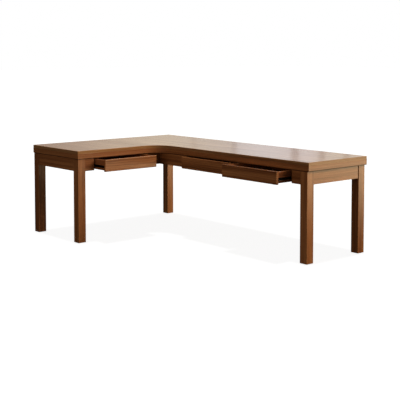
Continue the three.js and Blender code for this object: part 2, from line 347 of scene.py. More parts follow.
def make_figure_group():
    """Growth rings, colour streaks, fibres and open pores of a board, from its place in the log."""
    inputs = [
        ("Grain", VECTOR, None),
        ("Ring Width", FLOAT, 0.005),
        ("Wander", FLOAT, 0.02),
        ("Ring Depth", FLOAT, 0.3),
        ("Streak Depth", FLOAT, 0.5),
        ("Fibre Depth", FLOAT, 0.25),
    ]
    outputs = [("Tone", FLOAT), ("Pores", FLOAT), ("Height", FLOAT)]
    tree, given, result = new_group("board figure", inputs, outputs)
    s = Sheet(tree)
    place = s.tree.nodes.new("ShaderNodeSeparateXYZ")
    s.put(place.inputs[0], given.outputs["Grain"])
    x, y, z = place.outputs

    def stretched(along, across):
        """The place in the log, with its own scale along the grain."""
        scales = ((x, along), (y, across), (z, across))
        return s.vector(*(s.math("MULTIPLY", axis, scale) for axis, scale in scales))

    def ringed(scale, layer):
        """A place that is measured along the grain and out from the heart, in a layer of the noise."""
        return s.vector(s.math("MULTIPLY", x, scale[0]), s.math("MULTIPLY", reach, scale[1]), layer)

    def swing(field, depth):
        """A noise's swing about its middle, as deep as the named input says."""
        return s.math("MULTIPLY", s.math("SUBTRACT", field, 0.5), given.outputs[depth])

    # The distance from the log's heart, with the wander of a real trunk.
    drift = swing(s.noise(stretched(*WANDER_SCALE), 3.0), "Wander")
    reach = s.math("SQRT", s.math("ADD", s.math("MULTIPLY", y, y), s.math("MULTIPLY", z, z)))
    reach = s.math("ADD", reach, drift)
    # Rings of uneven width: each goes slowly from pale early wood to dark late wood, and back at once.
    uneven = s.noise(ringed(UNEVEN_SCALE, 0.0), 1.0)
    count = s.math("DIVIDE", reach, given.outputs["Ring Width"])
    count = s.math("ADD", count, s.math("MULTIPLY", uneven, 3.0))
    ring = s.math("FRACT", count)
    late = s.math("MULTIPLY", s.between(ring, 0.35, 0.92), s.between(ring, 1.0, 0.94))
    # Streaks of colour follow the rings. Fibres and pores are long and thin.
    streak = s.noise(ringed(STREAK_SCALE, 3.0), 3.0, 0.62)
    fibre = s.noise(stretched(*FIBRE_SCALE), 2.0)
    pore = s.noise(stretched(*PORE_SCALE), 1.0)
    pore = s.between(pore, 0.60, 0.72)
    tone = s.math("ADD", 0.5, swing(streak, "Streak Depth"))
    tone = s.math("SUBTRACT", tone, s.math("MULTIPLY", late, given.outputs["Ring Depth"]))
    tone = s.math("ADD", tone, swing(fibre, "Fibre Depth"))
    s.put(result.inputs["Tone"], tone)
    s.put(result.inputs["Pores"], pore)
    height = s.math("SUBTRACT", s.math("MULTIPLY", fibre, 0.3), pore)
    s.put(result.inputs["Height"], s.math("SUBTRACT", height, s.math("MULTIPLY", late, 0.2)))
    return tree


def make_wear_and_highlight_group():
    """Rubbed edges, which on the wood also stand for a painted highlight: the edge field, broken up by two
    sizes of noise.
    """
    inputs = [("Edge", FLOAT, 0.0), ("Place", VECTOR, None), ("Reach", FLOAT, 0.5)]
    tree, given, result = new_group("edge wear and highlight", inputs, [("Wear And Highlight", FLOAT)])
    s = Sheet(tree)
    broken = s.noise(s.scaled(given.outputs["Place"], 30.0), 4.0, 0.65)
    low = s.math("SUBTRACT", 1.0, given.outputs["Reach"])
    edge = s.math("MULTIPLY", given.outputs["Edge"], s.math("ADD", broken, 0.5))
    s.put(result.inputs["Wear And Highlight"], s.between(edge, low, s.math("ADD", low, 0.6)))
    return tree


FIGURE = make_figure_group()
WEAR_AND_HIGHLIGHT = make_wear_and_highlight_group()


def new_material(name):
    """A material with a Principled shader and nothing else."""
    material = bpy.data.materials.new(name)
    material.use_nodes = True
    s = Sheet(material.node_tree)
    return material, s, material.node_tree.nodes["Principled BSDF"]


def group(s, tree, **values):
    """A use of a shader group, with its inputs set by name. Gives all its outputs."""
    made = s.tree.nodes.new("ShaderNodeGroup")
    made.node_tree = tree
    for key, value in values.items():
        s.put(made.inputs[key.replace("_", " ")], value)
    return made.outputs


def ramp(s, factor, stops):
    """A colour ramp. stops is a list of (place, colour)."""
    made = s.tree.nodes.new("ShaderNodeValToRGB")
    s.put(made.inputs[0], factor)
    band = made.color_ramp
    while len(band.elements) < len(stops):
        band.elements.new(0.5)
    for element, (place, colour) in zip(band.elements, stops):
        element.position, element.color = place, (*colour, 1)
    return made.outputs[0]


def shade(colour, factor):
    """A colour made darker or paler by a factor, as a shader's socket takes it."""
    return (*(factor * np.array(colour)), 1)


def wood(
    name, dark, middle, light, rough=0.4, ring=5.0, wander=0.02, depths=(0.2, 0.6, 0.3), worn_and_highlit=0.35,
    coat=0.6, sheen=0.22, with_painted_shade=False,
):
    """Lacquered wood: the figure's tone picks the colour, pores are dark and dull, edges are paler as rubbed
    wood and a painted highlight, and painted shade under the top is dark and dull. ring is the width of a
    growth ring in mm, and depths are how strongly the rings, streaks and fibres show."""
    material, s, shader = new_material(name)
    grain = s.attribute("grain", out=1)
    edge = s.attribute("edge")
    figure = group(
        s, FIGURE, Grain=grain, Ring_Width=ring * MM, Wander=wander, Ring_Depth=depths[0],
        Streak_Depth=depths[1], Fibre_Depth=depths[2],
    )
    # pale shifts the tone: painted light and shade on the boards listed for it.
    tone = s.math("ADD", figure["Tone"], s.attribute("pale"))
    colour = ramp(s, tone, [(0.12, dark), (0.5, middle), (0.88, light)])
    pores = s.math("MULTIPLY", figure["Pores"], 0.55)
    colour = s.mix(pores, colour, shade(dark, 0.35))
    # Paler edges: rubbed wood and a painted highlight along each arris.
    wear_and_highlight = s.math("MULTIPLY", group(s, WEAR_AND_HIGHLIGHT, Edge=edge, Place=grain, Reach=0.6)["Wear And Highlight"], worn_and_highlit)
    colour = s.mix(wear_and_highlight, colour, shade(light, 1.25))
    shader.inputs["Coat Weight"].default_value = coat
    # Painted shade under the top's overhang and at the aprons' ends: darker colour and less lacquer.
    if with_painted_shade:
        painted_shade = s.attribute("painted_shade")
        colour = s.mix(s.math("MULTIPLY", painted_shade, 0.9), colour, shade(dark, 0.25))
        lacquer = s.math("MULTIPLY", s.math("SUBTRACT", 1.0, painted_shade), coat)
        s.put(shader.inputs["Coat Weight"], lacquer)
    s.put(shader.inputs["Base Color"], colour)
    dull = s.math("ADD", rough, s.math("MULTIPLY", figure["Pores"], 0.15))
    dull = s.math("ADD", dull, s.math("MULTIPLY", s.math("SUBTRACT", figure["Tone"], 0.5), -0.12))
    s.put(shader.inputs["Roughness"], dull)
    bump = s.node("ShaderNodeBump", Strength=0.25, Distance=0.2 * MM, Height=figure["Height"])
    s.put(shader.inputs["Normal"], bump)
    shader.inputs["IOR"].default_value = 1.5
    shader.inputs["Specular IOR Level"].default_value = 0.2
    shader.inputs["Coat Roughness"].default_value = sheen
    return material


# The output of Texture Coordinate that gives the place on the object, and the one that gives a direction.
OBJECT_PLACE = 3
LOOKING = 0
BARE_STEEL = (0.30, 0.30, 0.31)


def metal(name, colour, rough):
    """Plated or painted steel with a faint mottle and rubbed edges."""
    material, s, shader = new_material(name)
    place = s.node("ShaderNodeTexCoord", OBJECT_PLACE)
    mottle = s.noise(s.scaled(place, 160.0), 3.0)
    wear_and_highlight = group(s, WEAR_AND_HIGHLIGHT, Edge=s.attribute("edge"), Place=place, Reach=0.5)["Wear And Highlight"]
    base = s.mix(mottle, shade(colour, 0.75), shade(colour, 1.3))
    base = s.mix(s.math("MULTIPLY", wear_and_highlight, 0.4), base, (*BARE_STEEL, 1))
    s.put(shader.inputs["Base Color"], base)
    s.put(shader.inputs["Roughness"], s.between(mottle, 0.3, 0.7, rough - 0.06, rough + 0.08))
    shader.inputs["Metallic"].default_value = 1.0
    bump = s.node("ShaderNodeBump", Strength=0.1, Distance=0.1 * MM, Height=mottle)
    s.put(shader.inputs["Normal"], bump)
    return material


def plastic(name, colour, rough):
    """Moulded plastic with a fine texture."""
    material, s, shader = new_material(name)
    place = s.node("ShaderNodeTexCoord", OBJECT_PLACE)
    grainy = s.noise(s.scaled(place, 900.0), 2.0)
    base = s.mix(grainy, shade(colour, 0.8), shade(colour, 1.25))
    s.put(shader.inputs["Base Color"], base)
    s.put(shader.inputs["Roughness"], s.between(grainy, 0.3, 0.7, rough - 0.05, rough + 0.1))
    bump = s.node("ShaderNodeBump", Strength=0.15, Distance=0.1 * MM, Height=grainy)
    s.put(shader.inputs["Normal"], bump)
    return material


# Each wood's dark, middle and light colour.
TOP_WALNUT = (0.17, 0.062, 0.017), (0.31, 0.132, 0.043), (0.48, 0.23, 0.085)
FRAME_WALNUT = (0.15, 0.042, 0.010), (0.30, 0.098, 0.026), (0.46, 0.175, 0.055)
BOX_WALNUT = (0.14, 0.037, 0.010), (0.27, 0.083, 0.023), (0.40, 0.14, 0.046)
RAIL_WOOD = (0.14, 0.075, 0.036), (0.24, 0.14, 0.075), (0.36, 0.23, 0.13)
SHEET_WOOD = (0.20, 0.10, 0.045), (0.32, 0.19, 0.10), (0.42, 0.27, 0.15)

top_wood = wood(
    "walnut top", *TOP_WALNUT, rough=0.36, ring=9, wander=0.05, depths=(0.25, 1.5, 0.3), coat=0.5, sheen=0.1,
)
frame_wood = wood(
    "walnut frame", *FRAME_WALNUT, rough=0.45, ring=7, wander=0.03, depths=(0.25, 1.7, 0.35), coat=0.9,
    with_painted_shade=True,
)
box_wood = wood("drawer box wood", *BOX_WALNUT, rough=0.4)
inner_wood = wood("rail wood", *RAIL_WOOD, rough=0.6, worn_and_highlit=0.1)
sheet_wood = wood("drawer bottom sheet", *SHEET_WOOD, rough=0.55)
black_steel = metal("black slide steel", (0.022, 0.022, 0.024), 0.36)
screw_steel = metal("screw steel", (0.05, 0.05, 0.052), 0.3)
nylon = plastic("dark nylon", (0.03, 0.028, 0.026), 0.55)

# ---- Camera, floor and light ----


CAMERA_PLACE = (5.8112, -4.9099, 1.5781)
CAMERA_BEARING = 49.224
CAMERA_TILT = 3.7773
LENS = 83.558
SHIFT = -0.22


def make_camera():
    """A long lens in front of the desk and to its right, tilted down a little and shifted."""
    data = bpy.data.cameras.new("camera")
    data.sensor_width = 36
    data.lens = LENS
    data.shift_y = SHIFT
    data.dof.use_dof = False
    camera = bpy.data.objects.new("camera", data)
    camera.location = CAMERA_PLACE
    camera.rotation_euler = np.radians((90 - CAMERA_TILT, 0, CAMERA_BEARING))
    bpy.context.scene.collection.objects.link(camera)
    bpy.context.scene.camera = camera


FLOOR_SIZE = 60
FLOOR_GLOW = (0.905, 1.0)
FLOOR_PAINT = (0.5, 0.5, 0.5, 1)
# The floor's glow goes from the first to the second value of FLOOR_GLOW between these distances.
FLOOR_NEAR = (2.0, 4.0)
# Its glossy patch: where it grows and fades along y, and where it starts along x - y.
FLOOR_GLOSS = 5.5
GLOSS_GROWS = (0.8, 5.6)
GLOSS_FADES = (6.5, 9.0)
GLOSS_SIDE = (-3.8, -2.0)
FLOOR_GLOSS_COLOUR = (1.0, 0.80, 0.48, 1)


def make_floor():
    """A pale floor that is nearly white of itself, so that shadows on it stay faint. In the wood's gloss it
    is bright only beyond the desk, on the window's side."""
    mesh = bpy.data.meshes.new("floor")
    corners = rectangle(-FLOOR_SIZE, FLOOR_SIZE, -FLOOR_SIZE, FLOOR_SIZE)
    mesh.from_pydata([(x, y, 0) for x, y in corners], [], [(0, 1, 2, 3)])
    material = bpy.data.materials.new("pale floor")
    material.use_nodes = True
    tree = material.node_tree
    tree.nodes.clear()
    s = Sheet(tree)
    place = tree.nodes.new("ShaderNodeSeparateXYZ")
    s.put(place.inputs[0], s.node("ShaderNodeTexCoord", OBJECT_PLACE))
    x, y, _ = place.outputs
    away = s.math("SQRT", s.math("ADD", s.math("MULTIPLY", x, x), s.math("MULTIPLY", y, y)))
    strength = s.between(away, *FLOOR_NEAR, *FLOOR_GLOW)
    glow = s.node("ShaderNodeEmission", Color=(1, 1, 1, 1), Strength=strength)
    matt = s.node("ShaderNodeBsdfDiffuse", Color=FLOOR_PAINT)
    pale = tree.nodes.new("ShaderNodeAddShader")
    s.put(pale.inputs[0], glow)
    s.put(pale.inputs[1], matt)
    # The glossy patch: it grows beyond the desk, ends before the wall, and keeps to the window's side.
    grows = s.between(y, *GLOSS_GROWS, 0.0, FLOOR_GLOSS)
    beyond = s.math("MULTIPLY", grows, s.between(y, *GLOSS_FADES, 1.0, 0.0))
    beyond = s.math("MULTIPLY", beyond, s.between(s.math("SUBTRACT", x, y), *GLOSS_SIDE))
    lit = s.node("ShaderNodeEmission", Color=FLOOR_GLOSS_COLOUR, Strength=beyond)
    both = tree.nodes.new("ShaderNodeMixShader")
    path = tree.nodes.new("ShaderNodeLightPath")
    s.put(both.inputs[0], path.outputs["Is Camera Ray"])
    s.put(both.inputs[1], lit)
    s.put(both.inputs[2], pale.outputs[0])
    out = tree.nodes.new("ShaderNodeOutputMaterial")
    s.put(out.inputs["Surface"], both.outputs[0])
    mesh.materials.append(material)
    floor = bpy.data.objects.new("floor", mesh)
    bpy.context.scene.collection.objects.link(floor)
    floor.visible_diffuse = False
    return floor


# The room that the gloss sees. Bearings are in degrees from +Y toward -X. A bar is (bearing, width, depth).
ROOM = 0.06
WINDOW_BARS = ((49.6, 0.14, 0.25), (47.1, 0.16, 0.4), (43.35, 0.24, 0.6), (41.7, 0.2, 0.55), (40.2, 0.2, 0.5))
WALL = (
    (36.0, (0.90, 0.90, 0.80)), (41.0, (0.94, 0.94, 0.83)), (42.5, (1.02, 1.05, 1.09)),
    (45.5, (1.04, 1.11, 1.17)), (46.9, (0.95, 1.00, 1.04)), (47.3, (0.84, 0.84, 0.79)),
    (49.2, (0.84, 0.83, 0.74)), (51.0, (0.91, 0.88, 0.73)), (54.0, (0.80, 0.75, 0.62)),
    (58.0, (0.48, 0.44, 0.39)), (64.0, (0.30, 0.28, 0.26)),
)
# The wall's colours are divided by this, to stay under 1 in the colour ramp, and its glow makes up for it.
WALL_SCALE = 1.25
WALL_GLOW = 1.31
WALL_MIDDLE = 45.0
# Where the wall's glow fades, in degrees above the horizon and to each side of its middle.
WALL_TOP = (18, 40)
WALL_SIDE = (25.0, 45.0)
# How far from its middle a bar starts to fade and ends, in bar widths.
BAR_CORE, BAR_END = 0.4, 1.5


def make_world():
    """White behind the desk for the camera. For the gloss, a dim room whose far left wall glows, with its
    colour by bearing, crossed by narrow bars, and fades upward and to both sides."""
    world = bpy.data.worlds.new("room")
    world.use_nodes = True
    tree = world.node_tree
    tree.nodes.clear()
    s = Sheet(tree)
    look = tree.nodes.new("ShaderNodeSeparateXYZ")
    s.put(look.inputs[0], s.node("ShaderNodeTexCoord", LOOKING))
    x, y, z = look.outputs
    bearing = s.math("DEGREES", s.math("ARCTAN2", s.math("MULTIPLY", x, -1.0), y))
    start, span = WALL[0][0], WALL[-1][0] - WALL[0][0]
    stops = [((angle - start) / span, tuple(np.array(colour) / WALL_SCALE)) for angle, colour in WALL]
    wall = ramp(s, s.math("DIVIDE", s.math("SUBTRACT", bearing, start), span), stops)
    glow = WALL_GLOW
    for centre, width, depth in WINDOW_BARS:
        off = s.math("ABSOLUTE", s.math("SUBTRACT", bearing, centre))
        glow = s.math("MULTIPLY", glow, s.between(off, BAR_CORE * width, BAR_END * width, 1 - depth, 1.0))
    rise = s.math("DEGREES", s.math("ARCSINE", z))
    glow = s.math("MULTIPLY", glow, s.between(rise, *WALL_TOP, 1.0, 0.0))
    aside = s.math("ABSOLUTE", s.math("SUBTRACT", bearing, WALL_MIDDLE))
    glow = s.math("MULTIPLY", glow, s.between(aside, *WALL_SIDE, 1.0, 0.0))
    grey = s.node("ShaderNodeCombineColor", Red=glow, Green=glow, Blue=glow)
    colour = s.mix(1.0, grey, wall, "MULTIPLY")
    colour = s.mix(1.0, colour, (ROOM, ROOM, ROOM, 1), "ADD")
    path = tree.nodes.new("ShaderNodeLightPath")
    room = s.node("ShaderNodeBackground", Color=colour, Strength=1.0)
    white = s.node("ShaderNodeBackground", Color=(1, 1, 1, 1), Strength=1.0)
    both = tree.nodes.new("ShaderNodeMixShader")
    s.put(both.inputs[0], path.outputs["Is Camera Ray"])
    s.put(both.inputs[1], room)
    s.put(both.inputs[2], white)
    out = tree.nodes.new("ShaderNodeOutputWorld")
    s.put(out.inputs["Surface"], both.outputs[0])
    bpy.context.scene.world = world


DESK_MIDDLE = (0, 0, 0.5)
WINDOW_COLOUR = (1.0, 0.92, 0.78)
SUN_WIDTH = 4
SUN_GLOW = 0.15


def add_card(name, place, width, height, glow, unlit, colour=(1, 1, 1)):
    """A soft light: a card that glows evenly, at a place and facing the desk. glow is its radiance. It
    leaves out what is in the unlit collection."""
    data = bpy.data.lights.new(name, "AREA")
    data.shape = "RECTANGLE"
    data.size, data.size_y = width, height
    data.energy = glow * np.pi * width * height
    data.color = colour
    card = bpy.data.objects.new(name, data)
    card.location = place
    card.rotation_euler = (Vector(DESK_MIDDLE) - Vector(place)).to_track_quat("-Z", "Y").to_euler()
    card.visible_camera = False
    card.light_linking.receiver_collection = unlit
    bpy.context.scene.collection.objects.link(card)
    return card


def make_lights(floor):
    """A large warm window card to the right, a low fill card in front, a card on the ceiling, and a weak
    high sun that gives the floor its faint shadow. Only the sun lights the floor."""
    unlit = bpy.data.collections.new("floor only")
    unlit.objects.link(floor)
    unlit.collection_objects[0].light_linking.link_state = "EXCLUDE"
    add_card("window", (9.6, 6.6, 8.0), 7.0, 7.6, 10.5, unlit, WINDOW_COLOUR)
    fill = add_card("front fill", (2.2, -6.3, 2.2), 4.0, 3.0, 2.15, unlit)
    fill.visible_glossy = False
    add_card("ceiling", (-0.2, 0.6, 7.0), 4.0, 4.0, 3.4, unlit)
    data = bpy.data.lights.new("overhead", "SUN")
    data.energy, data.angle = SUN_GLOW * np.pi, np.radians(SUN_WIDTH)
    sun = bpy.data.objects.new("overhead", data)
    bpy.context.scene.collection.objects.link(sun)


make_camera()
make_lights(make_floor())
make_world()
bpy.context.scene.view_settings.view_transform = "Standard"

# ---- Top ----


def box_of(node):
    """The low and high corner of a node's CAD box."""
    low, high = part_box(node)
    return np.array(low), np.array(high)


# The top's plan, from the CAD boxes: the two sides that meet at the inner corner, the seam between the two
# boards, and the curve between those sides, which starts just clear of its neighbours.
TOP_LOW, TOP_HIGH = box_of("top_board_long")
STRIP_LOW = box_of("edge_strip_back")[0][2]
INNER_X = box_of("top_board_return")[1][0]
INNER_Y = box_of("edge_strip_long")[0][1]
SEAM_Y = TOP_LOW[1]
CURVE_CLEARANCE = 0.6 * MM
CURVE_X = box_of("edge_strip_long")[0][0]
END_Y = box_of("top_board_return")[0][1]
CURVE = min(CURVE_X - INNER_X, INNER_Y - SEAM_Y) - CURVE_CLEARANCE
STRIP = 80 * MM
# How sharp a sawn or mitred edge is left, and how round the corners of the top are, in mm.
SAWN = 0.4
ROUND = 2.6
# How much paler or darker than the rest each of these boards is drawn: painted shade on the darker ones,
# where the top, a leg and the open drawers shade them, and painted light on the paler ones.
PAINTED_LIGHT_AND_SHADE = {
    "edge_strip_end": 0.10, "apron_end": 0.12, "leg_return_wall": -0.14, "leg_corner": 0.16,
    "stile_long": -0.12, "stile_return": -0.14, "leg_right_front": 0.09, "apron_return": -0.14,
    "drawer_right_side_right": -0.2,
}
# Where the log's heart lies from the top's edge, and where the top's faces lie in their log, in metres.
EDGE_PITH = (0.62, 0.16)
FACE_PITH = (1.3, 1.25, 0.12)
# How far from a shaded edge the painted shade reaches.
PAINTED_SHADE_REACH = 4.6 * MM


def painted_shade_depth(*distances):
    """How deep each point lies in painted shade: 1 from a shaded edge to half of PAINTED_SHADE_REACH from it,
    falling in a straight line to 0 at PAINTED_SHADE_REACH. The distances are from each point to each such
    edge."""
    return np.max([np.clip(2 - 2 * distance / PAINTED_SHADE_REACH, 0, 1) for distance in distances], axis=0)


def edge_veneer(points, out, large):
    """Place in the log for an edge that looks along the normal out: the grain runs along the edge, by y on
    faces that look along x, by arc length on the large curve, and by x on faces that look along y."""
    x, y, z = points.T
    angle = np.arctan2(-out[:, 1], out[:, 0])
    joined = SEAM_Y + CURVE * np.pi / 2 - CURVE_X
    straight = np.where(abs(out[:, 0]) > abs(out[:, 1]), y, x + joined)
    along = np.where(large, SEAM_Y + CURVE * angle, straight)
    across = z - TOP_HIGH[2] + EDGE_PITH[0]
    return np.stack([along, across, np.full(len(x), EDGE_PITH[1])], axis=1)


def top_surface(plan, corner, low, high):
    """A board of the top, and its log: grain along x on its faces and along the edge on its walls."""
    surface = board_surface(plan, low, high, "z", ease=2.0, corner=corner, ease_low=0.3)
    points = surface[0]
    out, large = Outline(plan, np.asarray(corner) * MM).normals()
    rings = len(points) // len(out)
    out, large = np.tile(out, (rings, 1)), np.tile(large, rings)
    face = points + np.array(FACE_PITH) - (0, 0, high)
    # The two rings at each end lie on the board's flat faces, and the others go round its edge.
    flat = np.ones(rings, bool)
    flat[2:-2] = False
    flat = np.repeat(flat, len(points) // rings)
    log = np.where(flat[:, None], face, edge_veneer(points, out, large))
    return surface, log


def add_top():
    """The two boards of the top: the long one, with the inner curve, and the return's."""
    low, high = TOP_LOW, TOP_HIGH
    plan = [
        (high[0], INNER_Y), (high[0], high[1]), (low[0], high[1]),
        (low[0], SEAM_Y), (INNER_X, SEAM_Y), (INNER_X, INNER_Y),
    ]
    surface, log = top_surface(plan, [ROUND, ROUND, ROUND, SAWN, SAWN, CURVE / MM], low[2], high[2])
    add("top_long", surface, top_wood, "desk", "top_wood", ["top_board_long"], log=log)
    return_low, return_high = box_of("top_board_return")
    plan = rectangle(return_low[0], return_high[0], return_low[1], return_high[1])
    surface, log = top_surface(plan, [ROUND, ROUND, SAWN, SAWN], low[2], high[2])
    add("top_return", surface, top_wood, "desk", "top_wood", ["top_board_return"], log=log)


def add_frame_board(node, surface, painted_shade, **where):
    """A board of the frame in place of its node, with the painted light and shade listed for it. where is its
    place in the log.
    """
    pale = PAINTED_LIGHT_AND_SHADE.get(node, 0)
    add(f"{node}_wood", surface, frame_wood, "desk", "frame_wood", [node], pale=pale, painted_shade=painted_shade, **where)


def strip_plans():
    """The four-cornered plan of each mitred edge strip, outer side first, and the block behind the curve."""
    left, right = TOP_LOW[0], TOP_HIGH[0]
    end, seam, back = END_Y, SEAM_Y, TOP_HIGH[1]
    x0, y0, x1 = INNER_X, INNER_Y, CURVE_X
    w = STRIP
    return {
        "edge_strip_back": [(right, back), (left, back), (left + w, back - w), (right - w, back - w)],
        "edge_strip_left": [(left, back), (left, end), (left + w, end + w), (left + w, back - w)],
        "edge_strip_end": [(left, end), (x0, end), (x0 - w, end + w), (left + w, end + w)],
        "edge_strip_return": [(x0, end), (x0, seam), (x0 - w, seam), (x0 - w, end + w)],
        "edge_strip_long": [(x1, y0), (right, y0), (right - w, y0 + w), (x1, y0 + w)],
        "edge_strip_right": [(right, y0), (right, back), (right - w, back - w), (right - w, y0 + w)],
        "edge_block_curve": [
            (x0 - w, seam), (x0, seam), (x0, y0), (x1, y0), (x1, y0 + w), (x0 - w, y0 + w),
        ],
    }


def add_strips():
    """The strips that thicken the top's edge, and the block behind the curve, in the frame's wood."""
    low, high = box_of("edge_strip_back")
    for node, plan in strip_plans().items():
        corner = np.full(len(plan), SAWN)
        if node == "edge_block_curve":
            corner[2] = CURVE / MM
        surface = board_surface(plan, low[2], high[2], "z", ease=0.3, corner=corner, ease_low=ROUND)
        out, large = Outline(plan, corner * MM).normals()
        rings = len(surface[0]) // len(out)
        if node != "edge_block_curve":
            out[:] = side_normal(plan)
        log = edge_veneer(surface[0], np.tile(out, (rings, 1)), np.tile(large, rings))
        # Painted shade along the strip's lower edge: the dark line under the top's overhang.
        painted_shade = painted_shade_depth(surface[0][:, 2] - low[2])
        add_frame_board(node, surface, painted_shade, log=log)


def side_normal(plan):
    """The outward normal of a plan's first side."""
    run = np.subtract(plan[1], plan[0])
    return np.array([run[1], -run[0]]) / np.linalg.norm(run)


add_top()
add_strips()

# ---- Legs, aprons and panels ----

LEG_PLACES = ("corner", "right_back", "right_front", "return_wall", "return_inner")

for place in LEG_PLACES:
    node = f"leg_{place}"
    low, high = box_of(node)
    surface = box_surface(low, high, ease=1.0, corner=2.5)
    # Painted shade at the leg's top, under the top's overhang.
    painted_shade = painted_shade_depth(high[2] - surface[0][:, 2])
    add_frame_board(node, surface, painted_shade, grain="z", pith=(0.22, 0.2))

APRON_PITH = (0.15, 0.4)

for node, grain in (
    ("apron_back", "x"), ("apron_left", "y"), ("apron_end", "x"), ("apron_right", "y"),
    ("apron_long", "x"), ("apron_return", "y"), ("stile_long", "x"), ("stile_return", "y"),
):
    low, high = box_of(node)
    surface = box_surface(low, high, ease=0.8)
    axis = "xyz".index(grain)
    along = surface[0][:, axis]
    # Painted shade at the apron's top, under the top, and at its two ends.
    painted_shade = painted_shade_depth(high[2] - surface[0][:, 2], along - low[axis], high[axis] - along)
    add_frame_board(node, surface, painted_shade, grain=grain, pith=APRON_PITH)

for node, grain in (
    ("corner_block", "z"), ("panel_long_left", "y"), ("panel_long_middle", "y"),
    ("panel_long_right", "y"), ("panel_return_near", "x"), ("panel_return_far", "x"),
):
    surface = box_surface(*box_of(node), ease=0.6)
    add(f"{node}_wood", surface, inner_wood, "desk", "inner_wood", [node], grain, APRON_PITH)

# ---- Drawers and slides ----


def local_box(node, turned):
    """A node's box in its drawer's own frame: x across, y into the desk, z up."""
    low, high = box_of(node)
    if turned:
        return np.array([low[1], -high[0], low[2]]), np.array([high[1], -low[0], high[2]])
    return low, high


GROOVE_GAP = 0.3 * MM
# How round, in mm, the edges of a groove, the lower edges of a drawer side and its upper edges are.
CUT = 0.3
SIDE_FOOT = 0.8
SIDE_TOP = 3.5


def front_surface(low, high, groove_y, groove):
    """A drawer front: a section in y and z with a groove for the bottom, carried across."""
    z0, z1 = groove
    section = [
        (low[1], low[2]), (high[1], low[2]), (high[1], z0), (groove_y, z0),
        (groove_y, z1), (high[1], z1), (high[1], high[2]), (low[1], high[2]),
    ]
    corner = [2.0, 1.2, CUT, CUT, CUT, CUT, 1.8, 2.0]
    return board_surface(section, low[0], high[0], "x", ease=1.6, corner=corner)


def side_surface(low, high, groove_x, groove, left):
    """A drawer side: a section in z and x with rounded top edges and a groove, carried along y."""
    z0, z1 = groove
    if left:
        section = [
            (low[2], low[0]), (high[2], low[0]), (high[2], high[0]), (z1, high[0]),
            (z1, groove_x), (z0, groove_x), (z0, high[0]), (low[2], high[0]),
        ]
        corner = [SIDE_FOOT, SIDE_TOP, SIDE_TOP, CUT, CUT, CUT, CUT, SIDE_FOOT]
    else:
        section = [
            (low[2], low[0]), (z0, low[0]), (z0, groove_x), (z1, groove_x),
            (z1, low[0]), (high[2], low[0]), (high[2], high[0]), (low[2], high[0]),
        ]
        corner = [SIDE_FOOT, CUT, CUT, CUT, CUT, SIDE_TOP, SIDE_TOP, SIDE_FOOT]
    return board_surface(section, low[1], high[1], "y", ease=0.8, corner=corner)


# The sheet's thickness, and how round its cut edges, inner bends and outer bends are, in mm.
SHEET = 1.2 * MM
LIP = 0.4
INNER_BEND = 0.5
OUTER_BEND = 1.6


def channel_surface(low, high, web_high):
    """A slide member: a channel of bent sheet in z and x, carried along y. Its web is on the high or low
    side in x."""
    z0, z1, x0, x1 = low[2], high[2], low[0], high[0]
    t = SHEET
    if web_high:
        section = [
            (z0, x0), (z0 + t, x0), (z0 + t, x1 - t), (z1 - t, x1 - t),
            (z1 - t, x0), (z1, x0), (z1, x1), (z0, x1),
        ]
        corner = [LIP, LIP, INNER_BEND, INNER_BEND, LIP, LIP, OUTER_BEND, OUTER_BEND]
    else:
        section = [
            (z0, x0), (z1, x0), (z1, x1), (z1 - t, x1),
            (z1 - t, x0 + t), (z0 + t, x0 + t), (z0 + t, x1), (z0, x1),
        ]
        corner = [OUTER_BEND, OUTER_BEND, LIP, LIP, INNER_BEND, INNER_BEND, LIP, LIP]
    return board_surface(section, low[1], high[1], "y", ease=0.2, corner=corner)


SCREW_RADIUS = 3.6 * MM
SCREW_HEIGHT = 1.7 * MM
SCREW_SIDES = 32
# Any direction that is not along a screw's axis, from which its cross is turned.
ASIDE = (0.3, 0.5, 0.8)
# A screw's recess, as shares of its head: half an arm's width, its reach, the slope at each, and its depth.
ARM, ARM_SLOPE = 0.13, 0.05
ARM_REACH, REACH_SLOPE = 0.62, 0.12
RECESS = 0.5


def screw_surface(centre, axis):
    """A pan head with a cross recess, on a grid of angle and radius. Its height is a flat dome, less a
    recess that is deep where the point lies within a narrow cross and near the middle."""
    angle = np.linspace(0, 2 * np.pi, SCREW_SIDES + 1)[:-1]
    share = np.array([1.0, 1.0, 0.97, 0.88, 0.7, 0.58, 0.5, 0.4, 0.25, 0.12, 0.02])
    lift = np.array([-0.25, 0.35, 0.62, 0.85, 0.96, 0.985, 0.99, 1.0, 1.0, 1.0, 1.0])
    a, r = np.meshgrid(angle, share)
    u, v = r * np.cos(a), r * np.sin(a)
    arm = np.minimum(abs(u), abs(v))
    cross = np.clip((ARM - arm) / ARM_SLOPE, 0, 1) * np.clip((ARM_REACH - r) / REACH_SLOPE, 0, 1)
    w = lift[:, None] - RECESS * cross
    size = np.array([SCREW_RADIUS, SCREW_RADIUS, SCREW_HEIGHT])
    head = (np.stack([u, v, w], axis=-1) * size).reshape(-1, 3)
    foot = np.stack([u[0], v[0], np.full(SCREW_SIDES, -0.3)], axis=-1) * size
    local = np.concatenate([foot, head])
    z = unit(np.asarray(axis, float))
    x = unit(np.cross(z, ASIDE))
    basis = np.stack([x, np.cross(z, x), z])
    points = local @ basis + np.asarray(centre, float)
    return points, ring_faces(len(share) + 1, SCREW_SIDES), np.zeros(len(points))


def joined(surfaces):
    """Several surfaces as one."""
    points = np.concatenate([surface[0] for surface in surfaces])
    edge = np.concatenate([surface[2] for surface in surfaces])
    starts = np.cumsum([0] + [len(surface[0]) for surface in surfaces])
    faces = []
    for start, surface in zip(starts, surfaces):
        faces += [(np.array(face) + start).tolist() for face in surface[1]]
    return points, faces, edge


